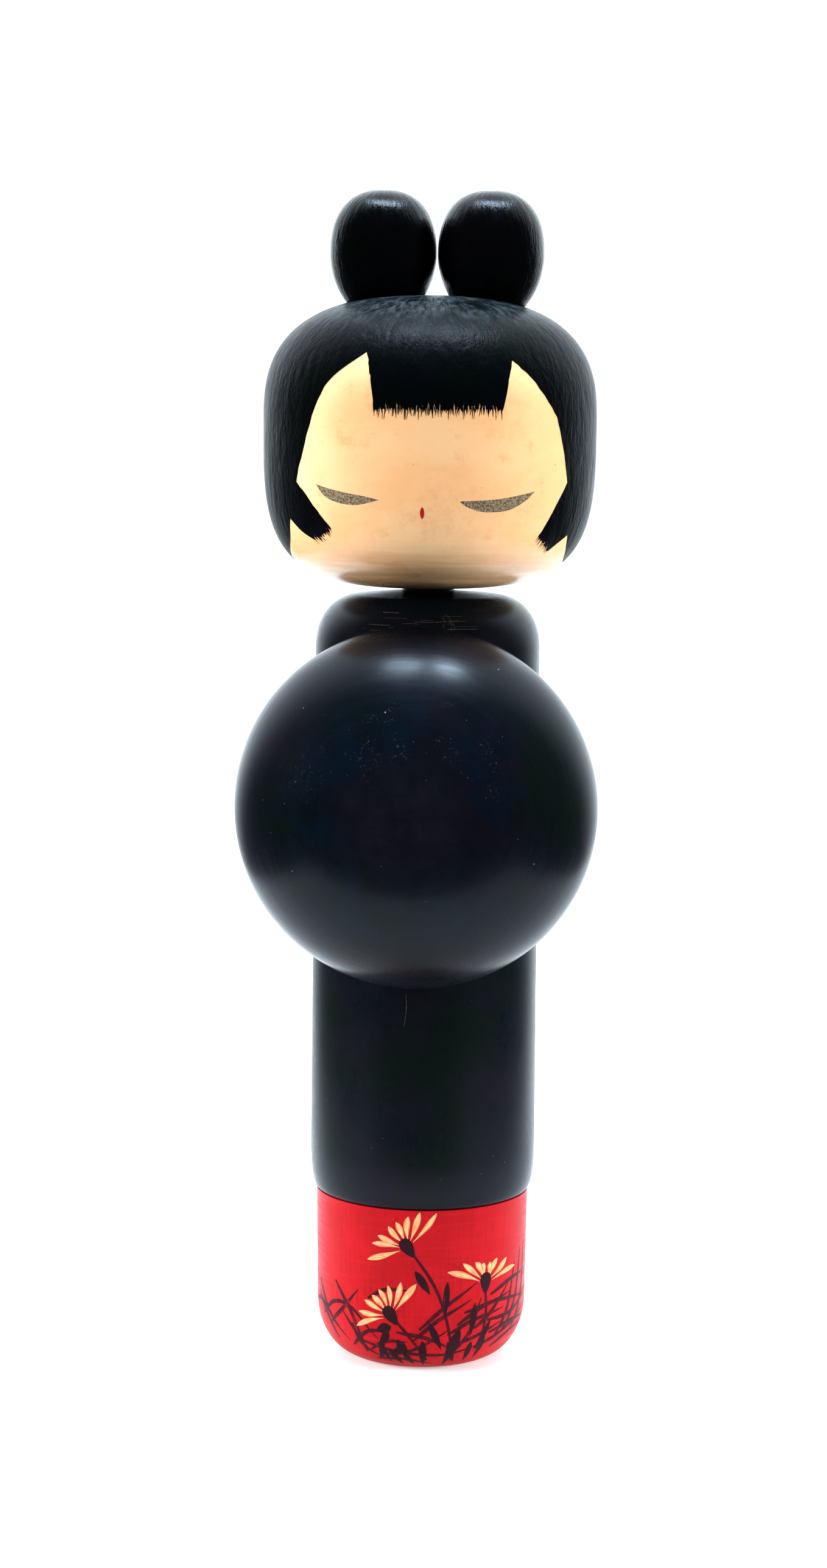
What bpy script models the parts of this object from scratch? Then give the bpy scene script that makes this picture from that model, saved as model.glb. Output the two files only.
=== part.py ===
"""Kokeshi doll: a turned wooden doll in ten pieces, standing on its red foot.

Run with: blender --background --python part.py
Metres, +Z up. The origin is where the doll's axis meets the floor. The doll faces -Y, so its left
side is at +X. The head turns about the Z axis on the neck dowel.
"""

import math

import bmesh
import bpy

MM = 0.001

# Fits and mesh density
GAP = 0.3 * MM                 # play between a dowel and its socket, and between seated faces
SEGMENTS = 48                  # sides of the large turned pieces
SMALL_SEGMENTS = 32            # sides of the buns and dowels
MERGE = 0.00001                # welds the ends of a turned profile on its axis

# Heights above the floor
FOOT_TOP = 43.7 * MM
TRUNK_BOTTOM = FOOT_TOP + GAP
TRUNK_TOP = 197.2 * MM         # where the shoulder would level off if the top were flat
HEAD_BOTTOM = 200.1 * MM
HEAD_MIDDLE = 242.5 * MM
HEAD_TOP = 273.5 * MM
TOTAL_HEIGHT = 300.0 * MM

# Foot: a red turned plug with a tenon that is glued into the trunk
FOOT_TOP_RADIUS = 27.5 * MM
FOOT_LOW_RADIUS = 27.1 * MM    # at the top of the rounded lower edge
FOOT_EDGE = (10.1 * MM, 14.6 * MM)
TENON_RADIUS = 12.0 * MM
TENON_LENGTH = 18.0 * MM

# Trunk: a tall, faintly tapered cylinder with a soft shoulder and a soft hem
TRUNK_TOP_RADIUS = 28.6 * MM
TRUNK_LOW_RADIUS = 29.13 * MM
SHOULDER = (11.0 * MM, 13.1 * MM)
TOP_SLOPE = math.tan(math.radians(5.0))   # the top rises this steeply from its edge to the neck
HEM = (2.0 * MM, 12.0 * MM)
EDGE_POWER = 2.3               # superellipse exponent of the shoulder and the hem

# Head: a squarish turned ball
HEAD_RADIUS = 42.2 * MM
HEAD_UPPER_POWER = 2.65        # superellipse exponents above and below the middle
HEAD_LOWER_POWER = 3.65
HEAD_YAW = math.radians(2.3)   # the head stands turned a little towards the doll's left

# Neck dowel: glued into the trunk, and the head turns on it
NECK_RADIUS = 6.6 * MM
NECK_DEPTH_TRUNK = 26.0 * MM
NECK_DEPTH_HEAD = 24.0 * MM

# Buns: two turned eggs that touch, each on its own dowel
BUN_RADIUS = 13.5 * MM
BUN_MIDDLE = 283.8 * MM
BUN_BOTTOM = 266.5 * MM        # of the whole egg, before its foot is shaped to the head
BUN_UPPER_POWER = 2.4
BUN_LOWER_POWER = 1.9
BUN_PAIR_GAP = 0.3 * MM        # between the two buns
BUN_PAIR_SIDE = 1.2 * MM       # the pair stands a little to the left of the head's middle
BUN_PAIR_BACK = 4.0 * MM       # and behind its axis
BUN_DOWEL_RADIUS = 3.0 * MM
BUN_DOWEL_BOTTOM = 264.5 * MM
BUN_DOWEL_TOP = 281.5 * MM

# Front dome: a turned half ball in a shallow round seat on the trunk, held by one dowel
DOME_RADIUS = 45.2 * MM
DOME_DEPTH = 36.0 * MM
DOME_HEIGHT = 147.0 * MM       # of its centre above the floor
DOME_EDGE = 1.5 * MM           # roundness of the edge at its flat back
SEAT_PLANE = 27.8 * MM         # from the doll's axis to the flat of the seat
DOME_DOWEL_RADIUS = 5.0 * MM
DOME_DOWEL_DEPTH = 15.0 * MM   # into the trunk, and the same into the dome

DOWEL_CHAMFER = 0.6 * MM
CUTTER_REACH = 5.0 * MM        # how far a cutter runs past the surface it opens
UPSIDE_DOWN = (math.pi, 0.0, 0.0)

BLACK_LACQUER = ("black_lacquer", (0.010, 0.011, 0.015), 0.30)
RED_STAIN = ("red_stain", (0.62, 0.015, 0.022), 0.42)
FACE_WOOD = ("face_wood", (0.86, 0.60, 0.36), 0.38)
RAW_WOOD = ("raw_wood", (0.70, 0.52, 0.33), 0.65)


# ---------------------------------------------------------------- scene and materials

def clear_scene():
    for old in list(bpy.data.objects):
        bpy.data.objects.remove(old, do_unlink=True)


def new_collection(name):
    made = bpy.data.collections.new(name)
    bpy.context.scene.collection.children.link(made)
    return made


def new_material(name, colour, roughness):
    made = bpy.data.materials.new(name)
    made.use_nodes = True
    shader = made.node_tree.nodes["Principled BSDF"]
    shader.inputs["Base Color"].default_value = (*colour, 1.0)
    shader.inputs["Roughness"].default_value = roughness
    shader.inputs["Metallic"].default_value = 0.0
    return made


# ---------------------------------------------------------------- outlines, as (radius, height)

def quarter(radius, middle, width, height, power, steps, to_pole):
    """A quarter of a superellipse from its side to its pole. A positive height rises, a negative one falls.

    radius is the straight stretch between the axis and the quarter's own centre, which lies at middle.
    The angle is stretched so that points stay evenly spread where the power makes the curve square.
    """
    points = []
    for step in range(steps + 1):
        angle = 0.5 * math.pi * step / steps
        across = math.cos(angle) ** (2.0 / power)
        along = math.sin(angle) ** (2.0 / power)
        if step == steps:
            across = 0.0
        points.append((radius + width * across, middle + height * along))
    return points if to_pole else points[::-1]


def head_outline(grow=0.0):
    """The head's outline from its top pole down to its bottom pole, optionally grown outwards."""
    upper = quarter(0.0, HEAD_MIDDLE, HEAD_RADIUS + grow, HEAD_TOP - HEAD_MIDDLE + grow,
                    HEAD_UPPER_POWER, 13, to_pole=False)
    lower = quarter(0.0, HEAD_MIDDLE, HEAD_RADIUS + grow, HEAD_BOTTOM - HEAD_MIDDLE - grow,
                    HEAD_LOWER_POWER, 13, to_pole=True)
    return upper + lower[1:]


def bun_outline():
    above = TOTAL_HEIGHT - BUN_MIDDLE
    upper = quarter(0.0, BUN_MIDDLE, BUN_RADIUS, above, BUN_UPPER_POWER, 8, to_pole=False)
    lower = quarter(0.0, BUN_MIDDLE, BUN_RADIUS, BUN_BOTTOM - BUN_MIDDLE, BUN_LOWER_POWER, 8, to_pole=True)
    return upper + lower[1:]


def trunk_outline():
    shoulder_low = TRUNK_TOP - SHOULDER[1]
    hem_high = TRUNK_BOTTOM + HEM[1]
    level_radius = TRUNK_TOP_RADIUS - SHOULDER[0]
    shoulder = quarter(level_radius, shoulder_low, *SHOULDER, EDGE_POWER, 9, to_pole=False)
    top = [(x, z + (TRUNK_TOP_RADIUS - x) * TOP_SLOPE) for x, z in [(0.0, TRUNK_TOP)] + shoulder]
    hem = quarter(TRUNK_LOW_RADIUS - HEM[0], hem_high, HEM[0], -HEM[1], EDGE_POWER, 7, to_pole=True)
    return top + hem + [(0.0, TRUNK_BOTTOM)]


def foot_outline():
    tenon_top = FOOT_TOP + TENON_LENGTH
    edge = quarter(FOOT_LOW_RADIUS - FOOT_EDGE[0], FOOT_EDGE[1], FOOT_EDGE[0], -FOOT_EDGE[1], 2.0, 10,
                   to_pole=True)
    return [(0.0, tenon_top), (TENON_RADIUS - DOWEL_CHAMFER, tenon_top),
            (TENON_RADIUS, tenon_top - DOWEL_CHAMFER), (TENON_RADIUS, FOOT_TOP),
            (FOOT_TOP_RADIUS, FOOT_TOP)] + edge + [(0.0, 0.0)]


def dome_outline():
    """The dome on its own axis, from its crown down to its flat back at height 0."""
    crown = quarter(0.0, DOME_EDGE, DOME_RADIUS, DOME_DEPTH - DOME_EDGE, 2.0, 13, to_pole=False)
    back_edge = quarter(DOME_RADIUS - DOME_EDGE, DOME_EDGE, DOME_EDGE, -DOME_EDGE, 2.0, 3, to_pole=True)
    return crown + back_edge[1:] + [(0.0, 0.0)]


# ---------------------------------------------------------------- pieces and cuts

def finish_piece(piece, collection, material):
    for held in list(piece.users_collection):
        held.objects.unlink(piece)
    collection.objects.link(piece)
    if material is not None:
        piece.data.materials.append(material)
    return piece


def turned(name, outline, segments, collection, material=None):
    """A piece turned on its Z axis: the outline at +X, run once round by a Screw modifier."""
    mesh = bpy.data.meshes.new(name)
    shape = bmesh.new()
    corners = [shape.verts.new((radius, 0.0, height)) for radius, height in outline]
    for upper, lower in zip(corners, corners[1:]):
        shape.edges.new((upper, lower))
    shape.to_mesh(mesh)
    shape.free()
    piece = bpy.data.objects.new(name, mesh)
    bpy.context.scene.collection.objects.link(piece)
    screw = piece.modifiers.new("turned", "SCREW")
    screw.steps = segments
    screw.render_steps = segments
    screw.use_merge_vertices = True
    screw.merge_threshold = MERGE
    screw.use_smooth_shade = True
    return finish_piece(piece, collection, material)


def rod(name, radius, length, collection, material=None, chamfer=0.0, sides=SMALL_SEGMENTS):
    """A round bar along its own Z, standing on its origin."""
    bpy.ops.mesh.primitive_cylinder_add(vertices=sides, radius=radius, depth=length)
    piece = bpy.context.object
    piece.name = name
    piece.data.name = name
    for corner in piece.data.vertices:
        corner.co.z += length / 2
    if chamfer:
        bevel = piece.modifiers.new("chamfer", "BEVEL")
        bevel.width = chamfer
        bevel.segments = 1
        bevel.limit_method = "ANGLE"
    piece.data.shade_smooth()
    piece.data.set_sharp_from_angle(angle=math.radians(35))
    return finish_piece(piece, collection, material)


def make_cutter(cutter):
    cutter.hide_render = True
    cutter.display_type = "WIRE"
    return cutter


def cut(piece, cutter):
    boolean = piece.modifiers.new(cutter.name, "BOOLEAN")
    boolean.operation = "DIFFERENCE"
    boolean.solver = "EXACT"
    boolean.object = make_cutter(cutter)


def socket(piece, name, radius, depth, mouth, collection, turn=(0.0, 0.0, 0.0)):
    """A blind round hole in piece, from its open end, the mouth, along the cutter's -Z."""
    cutter = rod(name, radius, depth + CUTTER_REACH, collection)
    for corner in cutter.data.vertices:
        corner.co.z -= depth
    cutter.location = mouth
    cutter.rotation_euler = turn
    cut(piece, cutter)


# ---------------------------------------------------------------- the doll

def make_foot(parts, materials):
    turned("foot", foot_outline(), SEGMENTS, parts, materials["red_stain"])


def make_trunk(parts, cutters, materials):
    trunk = turned("trunk", trunk_outline(), SEGMENTS, parts, materials["black_lacquer"])
    top, bottom = (0.0, 0.0, TRUNK_TOP), (0.0, 0.0, TRUNK_BOTTOM)
    socket(trunk, "neck_socket", NECK_RADIUS + GAP, NECK_DEPTH_TRUNK + GAP, top, cutters)
    socket(trunk, "tenon_socket", TENON_RADIUS + GAP, TENON_LENGTH + GAP, bottom, cutters, UPSIDE_DOWN)
    seat = rod("dome_seat", DOME_RADIUS + GAP, CUTTER_REACH, cutters, sides=SEGMENTS)
    seat.location = (0.0, -SEAT_PLANE, DOME_HEIGHT)
    seat.rotation_euler = (math.pi / 2, 0.0, 0.0)
    cut(trunk, seat)
    socket(trunk, "dome_socket", DOME_DOWEL_RADIUS + GAP, DOME_DOWEL_DEPTH + GAP,
           (0.0, -SEAT_PLANE, DOME_HEIGHT), cutters, turn=(math.pi / 2, 0.0, 0.0))


def make_dome(parts, cutters, materials):
    """The half ball looks along -Y. Its flat back stands off the flat of the seat by the usual gap."""
    back = (0.0, -SEAT_PLANE - GAP, DOME_HEIGHT)
    dome = turned("front_dome", dome_outline(), SEGMENTS, parts, materials["black_lacquer"])
    dome.location = back
    dome.rotation_euler = (math.pi / 2, 0.0, 0.0)
    socket(dome, "dome_back_socket", DOME_DOWEL_RADIUS + GAP, DOME_DOWEL_DEPTH + GAP, back, cutters,
           turn=(-math.pi / 2, 0.0, 0.0))
    dowel = rod("dome_dowel", DOME_DOWEL_RADIUS, 2 * DOME_DOWEL_DEPTH, parts, materials["raw_wood"],
                DOWEL_CHAMFER)
    dowel.location = (0.0, -SEAT_PLANE + DOME_DOWEL_DEPTH - GAP / 2, DOME_HEIGHT)
    dowel.rotation_euler = (math.pi / 2, 0.0, 0.0)


def make_neck(parts, materials):
    bottom = TRUNK_TOP - NECK_DEPTH_TRUNK
    length = HEAD_BOTTOM + NECK_DEPTH_HEAD - bottom
    neck = rod("neck_dowel", NECK_RADIUS, length, parts, materials["black_lacquer"], DOWEL_CHAMFER)
    neck.location = (0.0, 0.0, bottom)


def bun_places():
    """The two buns' axes as (name of the side, x, y), on the head as it stands turned by HEAD_YAW."""
    reach = BUN_RADIUS + BUN_PAIR_GAP / 2
    places = []
    for side, sign in (("left", 1.0), ("right", -1.0)):
        across = BUN_PAIR_SIDE + sign * reach
        x = across * math.cos(HEAD_YAW) - BUN_PAIR_BACK * math.sin(HEAD_YAW)
        y = across * math.sin(HEAD_YAW) + BUN_PAIR_BACK * math.cos(HEAD_YAW)
        places.append((side, x, y))
    return places


def make_head_joint(parts):
    """An empty on the neck's axis, at the underside of the head. What turns with the head hangs on it."""
    joint = bpy.data.objects.new("head_turn", None)
    joint.empty_display_size = 2 * NECK_RADIUS
    joint.location = (0.0, 0.0, HEAD_BOTTOM)
    return finish_piece(joint, parts, None)


def hang(piece, joint):
    """Makes the piece follow the joint from where it now stands."""
    bpy.context.view_layer.update()
    piece.parent = joint
    piece.matrix_parent_inverse = joint.matrix_world.inverted()


def make_head(parts, cutters, materials, joint):
    head = turned("head", head_outline(), SEGMENTS, parts, materials["face_wood"])
    bottom = (0.0, 0.0, HEAD_BOTTOM)
    socket(head, "head_neck_socket", NECK_RADIUS + GAP, NECK_DEPTH_HEAD + GAP, bottom, cutters, UPSIDE_DOWN)
    depth = HEAD_TOP - BUN_DOWEL_BOTTOM + GAP
    for side, x, y in bun_places():
        mouth = (x, y, HEAD_TOP)
        socket(head, f"head_bun_socket_{side}", BUN_DOWEL_RADIUS + GAP, depth, mouth, cutters)
    hang(head, joint)


def make_buns(parts, cutters, materials, joint):
    """Each bun's foot is hollowed to the head's crown, so it sits on the crown with the usual gap."""
    crown = turned("crown_shape", head_outline(grow=GAP), SEGMENTS, cutters)
    for side, x, y in bun_places():
        bun = turned(f"bun_{side}", bun_outline(), SMALL_SEGMENTS, parts, materials["black_lacquer"])
        bun.location = (x, y, 0.0)
        cut(bun, crown)
        socket(bun, f"bun_socket_{side}", BUN_DOWEL_RADIUS + GAP, BUN_DOWEL_TOP - BUN_BOTTOM + GAP,
               (x, y, BUN_BOTTOM), cutters, turn=(math.pi, 0.0, 0.0))
        dowel = rod(f"bun_dowel_{side}", BUN_DOWEL_RADIUS, BUN_DOWEL_TOP - BUN_DOWEL_BOTTOM, parts,
                    materials["raw_wood"], DOWEL_CHAMFER)
        dowel.location = (x, y, BUN_DOWEL_BOTTOM)
        hang(bun, joint)
        hang(dowel, joint)


def main():
    clear_scene()
    parts = new_collection("kokeshi_doll")
    cutters = new_collection("cutters")
    materials = {name: new_material(name, colour, roughness)
                 for name, colour, roughness in (BLACK_LACQUER, RED_STAIN, FACE_WOOD, RAW_WOOD)}
    make_foot(parts, materials)
    make_trunk(parts, cutters, materials)
    make_dome(parts, cutters, materials)
    make_neck(parts, materials)
    joint = make_head_joint(parts)
    make_head(parts, cutters, materials, joint)
    make_buns(parts, cutters, materials, joint)


main()
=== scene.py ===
"""Looks of a kokeshi doll: lacquer, varnished wood, and painted hair, face and flowers.

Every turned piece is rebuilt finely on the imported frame, from the same outline as its CAD solid. Whatever is
painted on the doll is a thin closed layer of its own, cut out of the surface that it lies on.

Lengths are metres, and left and right are the doll's own. A point painted on a piece is (way round, height).
The way round is in degrees from the front on the head, and in millimetres from the front on the trunk and the
foot. The height is in millimetres above the floor.
"""

import math
import random

import bmesh
import bpy
import numpy as np
from mathutils import Matrix, Vector
from mathutils.geometry import delaunay_2d_cdt


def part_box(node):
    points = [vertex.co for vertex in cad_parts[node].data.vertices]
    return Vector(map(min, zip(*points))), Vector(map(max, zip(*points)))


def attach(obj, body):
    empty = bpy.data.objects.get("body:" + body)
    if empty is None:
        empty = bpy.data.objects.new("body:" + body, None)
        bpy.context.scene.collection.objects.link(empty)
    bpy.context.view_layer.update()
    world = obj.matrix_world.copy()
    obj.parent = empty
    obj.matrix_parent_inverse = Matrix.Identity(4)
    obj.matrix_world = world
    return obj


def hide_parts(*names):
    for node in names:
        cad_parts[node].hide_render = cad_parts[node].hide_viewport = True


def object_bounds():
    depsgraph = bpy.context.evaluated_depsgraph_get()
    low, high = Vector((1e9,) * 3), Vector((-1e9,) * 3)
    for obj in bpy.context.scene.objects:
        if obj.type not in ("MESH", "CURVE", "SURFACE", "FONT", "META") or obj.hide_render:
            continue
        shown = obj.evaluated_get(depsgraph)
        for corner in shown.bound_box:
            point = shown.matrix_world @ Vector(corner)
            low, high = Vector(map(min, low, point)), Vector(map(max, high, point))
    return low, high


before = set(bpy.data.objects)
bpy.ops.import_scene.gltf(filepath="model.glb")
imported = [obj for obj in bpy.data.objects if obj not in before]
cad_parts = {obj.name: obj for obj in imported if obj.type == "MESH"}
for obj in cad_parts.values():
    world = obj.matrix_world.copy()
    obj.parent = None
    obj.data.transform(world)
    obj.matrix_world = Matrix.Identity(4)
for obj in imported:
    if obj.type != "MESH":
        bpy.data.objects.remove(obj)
cad_low, cad_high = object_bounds()

MM = 0.001
ROUND = 256  # sides of a turned piece
OUTLINE_STEPS = 60  # points in a quarter of an outline
SHARP = math.radians(40)  # an edge that turns more than this stays sharp
ON_AXIS = 0.01 * MM  # nearer to an axis than this is on it
NOWHERE = (0.0, 0.0, 0.0)

# Layers of paint
PAINT = 0.05 * MM  # how proud a layer of paint stands
HAIR = 0.10 * MM  # the hair is thicker, and its outside is the head's full width
PAINT_ROOT = 0.10 * MM  # how deep a layer's closed underside lies in the wood
FINEST = 0.004 * MM  # points of an outline that are closer than this are one
DEGREE = 0.73  # millimetres in a degree round the head

# Black lacquer reflects little when seen square on, and its colour wanders
LACQUER_IOR = 1.18
BLACK_BLUE = (0.0012, 0.0026, 0.0042)
BLACK_VIOLET = (0.0034, 0.0028, 0.0056)
BLACK_GREEN = (0.0012, 0.0034, 0.0026)
BLACK_WORN = (0.0060, 0.0062, 0.0085)
DOME_MIDDLE = (0.0066, 0.0060, 0.0098)
DOME_RING = (0.0010, 0.0042, 0.0092)
SCUFF = (0.065, 0.070, 0.080)
# dust on the crown, paled further as a painted sheen that stands in for a reflection of the bright studio
CROWN_DUST_AND_SHEEN = (0.10, 0.125, 0.14)
DUST = (0.30, 0.31, 0.34)
WHITE = (1.0, 1.0, 1.0)

# The outlines' superellipse powers and small measures, as in the CAD model
EDGE_POWER = 2.3
HEAD_MIDDLE = 242.5 * MM
HEAD_POWERS = (2.65, 3.65)
BORE_DEPTH = 8.0 * MM  # how much of the neck's bore in the head is made here
BUN_MIDDLE = 283.8 * MM
BUN_BOTTOM = 266.5 * MM
BUN_POWERS = (2.4, 1.9)
TRUNK_TOP_RADIUS = 28.6 * MM
SHOULDER = (11.0 * MM, 13.1 * MM)
TOP_SLOPE = math.tan(math.radians(5.0))  # the trunk's top rises this steeply towards the neck
SOCKET_DEPTH = 6.0 * MM  # how much of the neck's socket is made here
HEM = (2.0 * MM, 12.0 * MM)
FOOT_TOP = 43.7 * MM
FOOT_TOP_RADIUS = 27.5 * MM
FOOT_LOW_RADIUS = 27.1 * MM
FOOT_EDGE = (10.1 * MM, 14.6 * MM)
DOME_EDGE = 1.5 * MM
DOME_EDGE_STEPS = 12
GAP = 0.3 * MM

# Where the head is worn, and where its sheen and shade are painted
CROWN_SHEEN_RISE = (264.0 * MM, 272.5 * MM)  # dust and a painted sheen come in between these heights
CHIN_SHADE_RISE = (201.2 * MM, 216.5 * MM)  # painted shade under the chin fades out between these
MOUTH_CORNER = (6.0 * MM, -42.0 * MM, 219.0 * MM)
BROW = (20.0 * MM, -36.0 * MM, 244.5 * MM)

HEAD_TURN = math.radians(2.3)  # how far the face looks towards the doll's left


# ---------- turned surfaces

def quarter(radius, middle, width, height, power, to_pole, steps=OUTLINE_STEPS):
    """A quarter of a superellipse between its side and its pole, as (radius, height) points."""
    angle = np.linspace(0.0, math.pi / 2, steps + 1)
    across = np.abs(np.cos(angle)) ** (2.0 / power)
    across[-1] = 0.0
    points = np.column_stack((radius + width * across, middle + height * np.sin(angle) ** (2.0 / power)))
    return points if to_pole else points[::-1]


def straight(start, end, spacing=1.5 * MM):
    """Points from start to end, without the end."""
    start, end = np.array(start), np.array(end)
    steps = max(1, math.ceil(np.linalg.norm(end - start) / spacing))
    return start + (end - start) * np.arange(steps)[:, None] / steps


class Turned:
    """A surface turned about an axis: an outline of (radius, height) points from its top to its bottom.

    A place on it is an angle from the front and a way down the outline. The axis is +Z through the origin
    unless a placing matrix says otherwise.
    """

    def __init__(self, outline, placing=None, turn=0.0):
        outline = np.asarray(outline, float)
        keep = np.r_[True, np.linalg.norm(np.diff(outline, axis=0), axis=1) > 1e-7]
        self.outline = outline[keep]
        self.way = np.r_[0.0, np.cumsum(np.linalg.norm(np.diff(self.outline, axis=0), axis=1))]
        slope = np.gradient(self.outline, self.way, axis=0)
        self.out = np.column_stack((-slope[:, 1], slope[:, 0]))
        self.out /= np.linalg.norm(self.out, axis=1)[:, None]
        self.placing = np.eye(4) if placing is None else np.array(placing)
        self.turn = turn
        heights = self.outline[:, 1]
        highest = int(np.argmax(heights))
        self.falling = slice(highest, highest + int(np.argmin(heights[highest:])) + 1)

    def way_at(self, height):
        """The way down the outline at a height, between its highest and lowest points."""
        return np.interp(-np.asarray(height), -self.outline[self.falling, 1], self.way[self.falling])

    def places(self, angle, way, lift=0.0):
        """World points and outward normals."""
        angle = np.asarray(angle) + self.turn
        radius, height, out_r, out_z = (np.interp(way, self.way, column) for column in
                                        (*self.outline.T, *self.out.T))
        radius, height = radius + out_r * lift, height + out_z * lift
        points = np.column_stack((radius * np.sin(angle), -radius * np.cos(angle), height))
        normals = np.column_stack((out_r * np.sin(angle), -out_r * np.cos(angle), out_z))
        return points @ self.placing[:3, :3].T + self.placing[:3, 3], normals @ self.placing[:3, :3].T


def turned_piece(name, surface, material, node, body, slot):
    """The closed mesh of a turned surface whose outline starts and ends on the axis."""
    radius = surface.outline[:, 0]
    rings = [i for i in range(len(radius)) if radius[i] > 1e-7]
    angle = np.arange(ROUND) * 2 * math.pi / ROUND
    points = [surface.places(angle, np.full(ROUND, surface.way[i]))[0] for i in rings]
    poles = [surface.places([0.0], [surface.way[i]])[0] for i in (0, -1)]
    made = bmesh.new()
    grid = [[made.verts.new(p) for p in ring] for ring in points]
    top, bottom = (made.verts.new(p[0]) for p in poles)
    for upper, lower in zip(grid, grid[1:]):
        for k in range(ROUND):
            made.faces.new((upper[k - 1], lower[k - 1], lower[k], upper[k]))
    for k in range(ROUND):
        made.faces.new((top, grid[0][k - 1], grid[0][k]))
        made.faces.new((bottom, grid[-1][k], grid[-1][k - 1]))
    mesh = bpy.data.meshes.new(name)
    made.to_mesh(mesh)
    made.free()
    mesh.shade_smooth()
    mesh.set_sharp_from_angle(angle=SHARP)
    return place(name, mesh, material, body, slot, node)


def place(name, mesh, material, body, slot, node=None):
    """Shows a mesh on a body of the frame, in place of a node where one is given."""
    piece = bpy.data.objects.new(name, mesh)
    bpy.context.scene.collection.objects.link(piece)
    mesh.materials.append(material)
    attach(piece, body)
    if node:
        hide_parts(node)
    return piece


# ---------- layers of paint

def curve(points, steps=8):
    """A smooth curve through the points (Catmull-Rom), with so many steps between two of them."""
    p = np.array(points, float)
    p = np.vstack((2 * p[0] - p[1], p, 2 * p[-1] - p[-2]))
    t = np.arange(steps)[:, None] / steps
    parts = []
    for a, b, c, d in zip(p, p[1:], p[2:], p[3:]):
        parts.append(0.5 * (2 * b + (c - a) * t + (2 * a - 5 * b + 4 * c - d) * t ** 2
                            + (3 * b - a - 3 * c + d) * t ** 3))
    return np.vstack(parts + [p[-2:-1]])


def inside(points, outline):
    """Which points lie inside a closed outline."""
    x, y = points.T
    odd = np.zeros(len(points), bool)
    for (x0, y0), (x1, y1) in zip(outline, np.roll(outline, -1, axis=0)):
        if y0 != y1:
            odd ^= ((y0 > y) != (y1 > y)) & (x < (x1 - x0) * (y - y0) / (y1 - y0) + x0)
    return odd


class PolarChart:
    """A piece laid flat about its top: the way down from the top is the distance from the middle."""

    def __init__(self, surface):
        self.surface = surface

    def flat(self, places):
        angle, height = np.radians(places[:, 0]), places[:, 1] * MM
        way = self.surface.way_at(height)
        return np.column_stack((way * np.sin(angle), -way * np.cos(angle)))

    def unflat(self, flat):
        return np.arctan2(flat[:, 0], -flat[:, 1]), np.linalg.norm(flat, axis=1)

    def fill(self, spacing, low, high):
        """Points all over the piece, in rings that are spacing apart."""
        points = [np.zeros((1, 2))]
        reach = np.abs(np.vstack((low, high))).max() * math.sqrt(2)
        for i, way in enumerate(np.arange(spacing, min(reach, self.surface.way[-1]), spacing)):
            radius = np.interp(way, self.surface.way, self.surface.outline[:, 0])
            count = max(6, round(2 * math.pi * radius / spacing))
            angle = (np.arange(count) + 0.5 * (i % 2)) * 2 * math.pi / count
            points.append(np.column_stack((way * np.sin(angle), -way * np.cos(angle))))
        return np.vstack(points)


class StripChart:
    """The side of a piece unrolled: millimetres round from the front, and the way down the outline."""

    def __init__(self, surface, radius):
        self.surface, self.radius = surface, radius

    def flat(self, places):
        return np.column_stack((places[:, 0] * MM, -self.surface.way_at(places[:, 1] * MM)))

    def unflat(self, flat):
        return flat[:, 0] / self.radius, -flat[:, 1]

    def fill(self, spacing, low, high):
        x, y = (np.arange(a, b, spacing) for a, b in zip(low, high))
        return np.array([(i + spacing / 2 * (n % 2), j) for n, j in enumerate(y) for i in x]).reshape(-1, 2)


def layer(name, chart, flat, faces, material, body, slot, lift, brush=None):
    """A closed thin layer of paint over points of a chart. brush has each point's place in its stroke."""
    angle, way = chart.unflat(flat)
    upper, normals = chart.surface.places(angle, way, lift)
    lower, _ = chart.surface.places(angle, way, -PAINT_ROOT)
    a, b, c = (upper[[f[i] for f in faces]] for i in range(3))
    facing = np.einsum("ij,ij->i", np.cross(b - a, c - a), normals[[f[0] for f in faces]])
    faces = [f if good > 0 else f[::-1] for f, good in zip(faces, facing)]
    count = len(flat)
    rim = set()
    for face in faces:
        for start, end in zip(face, face[1:] + face[:1]):
            if (end, start) in rim:
                rim.remove((end, start))
            else:
                rim.add((start, end))
    sides = [(end, start, start + count, end + count) for start, end in sorted(rim)]
    under = [tuple(corner + count for corner in face[::-1]) for face in faces]
    mesh = bpy.data.meshes.new(name)
    mesh.from_pydata(np.vstack((upper, lower)).tolist(), [], faces + under + sides)
    mesh.validate()
    mesh.shade_smooth()
    mesh.normals_split_custom_set_from_vertices(np.vstack((normals, normals)).tolist())
    if brush is not None:
        places = mesh.attributes.new("brush", "FLOAT_VECTOR", "POINT")
        places.data.foreach_set("vector", np.vstack((brush, brush)).ravel())
    return place(name, mesh, material, body, slot)


def painted(name, chart, outline, material, body, slot, spacing=0.8 * MM, lift=PAINT):
    """A layer of paint inside an outline of (way round, height) places."""
    edge = chart.flat(np.asarray(outline, float))
    gaps = np.linalg.norm(np.roll(edge, -1, axis=0) - edge, axis=1)
    edge = edge[gaps > FINEST]
    edge = np.vstack([straight(a, b, spacing) for a, b in zip(edge, np.roll(edge, -1, axis=0))])
    fill = chart.fill(spacing, edge.min(axis=0), edge.max(axis=0))
    fill = fill[inside(fill, edge)]
    if len(fill):
        apart = np.array([np.min(np.sum((edge - p) ** 2, axis=1)) for p in fill])
        fill = fill[apart > (0.35 * spacing) ** 2]
    corners = [Vector(p) for p in np.vstack((edge, fill)) / MM]
    result = delaunay_2d_cdt(corners, [], [list(range(len(edge)))], 1, 1e-5)
    flat = np.array([tuple(p) for p in result[0]]) * MM
    return layer(name, chart, flat, [tuple(face) for face in result[2]], material, body, slot, lift)


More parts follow.
